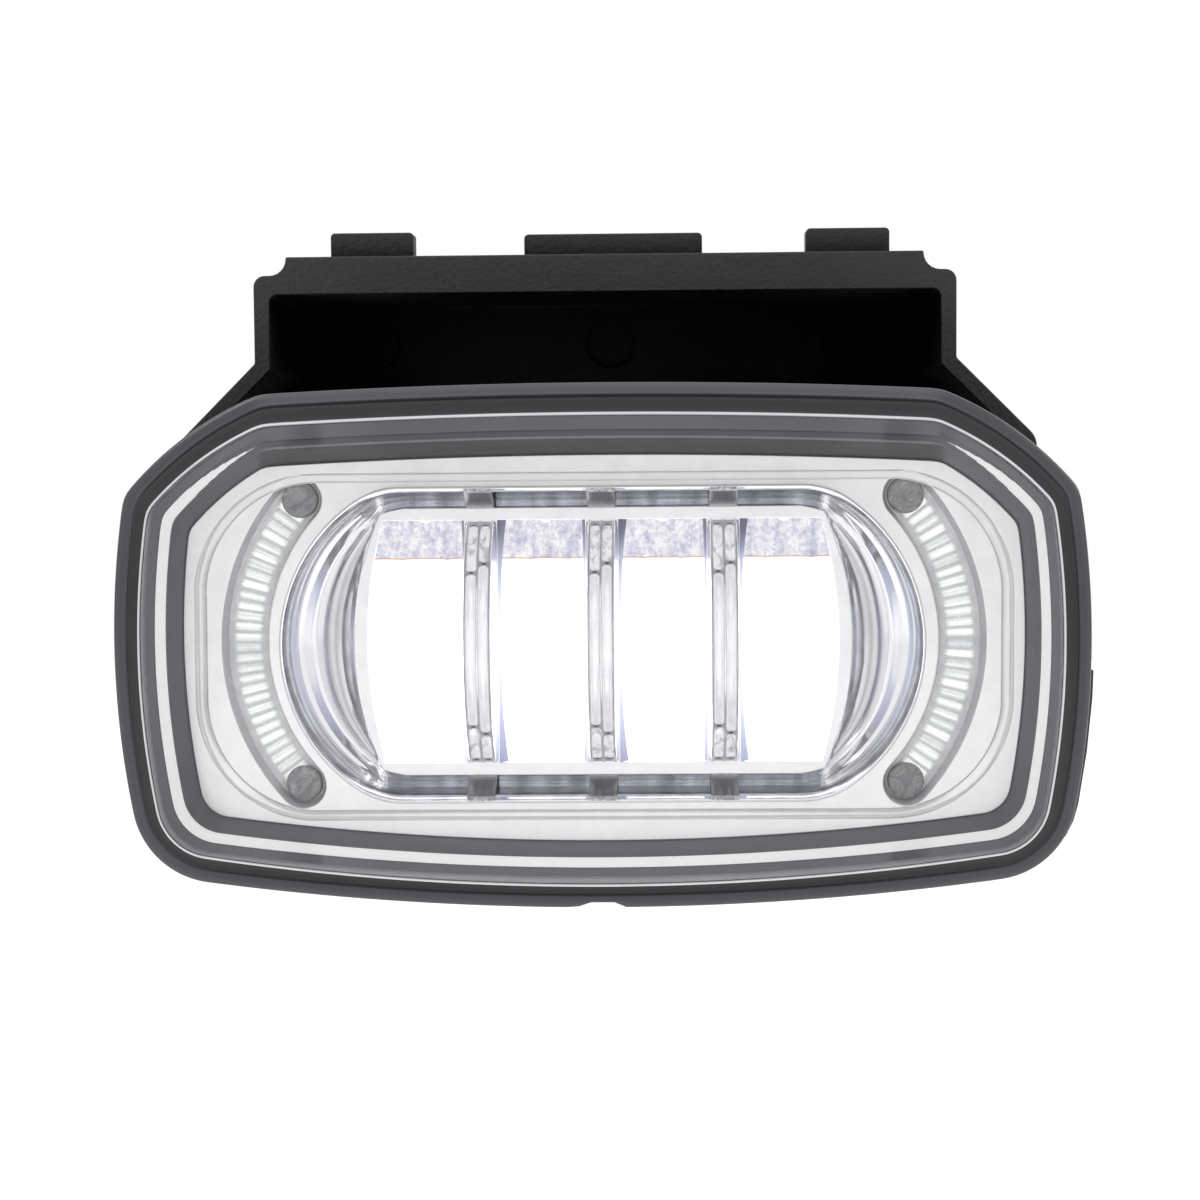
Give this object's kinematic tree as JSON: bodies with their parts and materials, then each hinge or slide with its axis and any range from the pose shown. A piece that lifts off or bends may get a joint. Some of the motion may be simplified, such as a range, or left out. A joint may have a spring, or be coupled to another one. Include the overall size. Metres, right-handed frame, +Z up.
{
  "type": "fog light",
  "caption": "Bowed rectangular LED fog light with lit side arcs, tilting in a black bracket by an aim screw.",
  "frame": {"origin": "middle of the four bolts, on the bracket's rear face", "axes": "+Z up, -Y the way the lamp shines, +X to the right of someone facing the lamp"},
  "size_m": [0.2044, 0.127, 0.1433],
  "materials": {
    "clear_lens": "clear polycarbonate, hard-coated",
    "light_guide": "clear acrylic, lit",
    "housing_plastic": "black, fine grain",
    "bracket_plastic": "black, coarse grain",
    "metallised": "vacuum-metallised, mirror bright",
    "seal_rubber": "matte",
    "orange_seal": "matte",
    "pad": "matte",
    "board_white": "white solder mask on aluminium",
    "board_green": "green solder mask",
    "led": "phosphor dome",
    "component": "matte",
    "wire": "satin",
    "cast_aluminium": "black anodised",
    "steel": "zinc plated",
    "brass": "knurled",
    "gold_contact": "gold flashed",
    "acetal": "satin"
  },
  "bodies": {
    "bracket_body": {"bracket": "bracket_plastic", "bolt_limiters": "steel", "pivot_bushing_left": "acetal", "pivot_bushing_right": "acetal", "adjuster_bushing": "acetal"},
    "head": {"lens_cover": "clear_lens", "lens_seal": "seal_rubber", "housing": "housing_plastic", "bezel": "metallised", "reflector": "metallised", "rib_trims": "metallised", "led_board": "board_white", "main_leds": "led", "thermal_pad": "pad", "heat_sink": "cast_aluminium", "heat_sink_gasket": "seal_rubber", "heat_sink_screws": "steel", "driver_board": "board_green", "driver_parts": "component", "driver_screws": "steel", "drl_guide_left": "light_guide", "drl_guide_right": "light_guide", "drl_board_left": "board_white", "drl_board_right": "board_white", "drl_leds": "led", "drl_leads": "wire", "connector_socket": "housing_plastic", "connector_terminals": "gold_contact", "connector_gasket": "orange_seal", "breather_vent": "housing_plastic", "bezel_screws": "steel", "led_board_screws": "steel", "pivot_inserts": "brass", "pivot_screw_left": "steel", "pivot_screw_right": "steel"},
    "aim_screw": {"adjuster_screw": "steel", "adjuster_clip": "steel"},
    "aim_nut": {"adjuster_nut": "acetal"}
  },
  "joints": [
    {"name": "aim_tilt", "type": "hinge", "parent": "bracket_body", "child": "head", "pos_m": [0, -0.052, -0.036], "axis": [1, 0, 0], "range_deg": [-4, 4]},
    {"name": "aim_screw_turn", "type": "hinge", "parent": "bracket_body", "child": "aim_screw", "pos_m": [0.03, -0.01, 0.011], "axis": [0, 1, 0], "range_deg": [-1182, 1182]},
    {"name": "aim_nut_travel", "type": "slide", "parent": "bracket_body", "child": "aim_nut", "axis": [0, -1, 0], "range_m": [-0.0033, 0.0033]}
  ],
  "couplings": [
    {"joint": "aim_screw_turn", "follows": "aim_tilt", "ratio": 295.31},
    {"joint": "aim_nut_travel", "follows": "aim_tilt", "m_per_rad": 0.047}
  ]
}
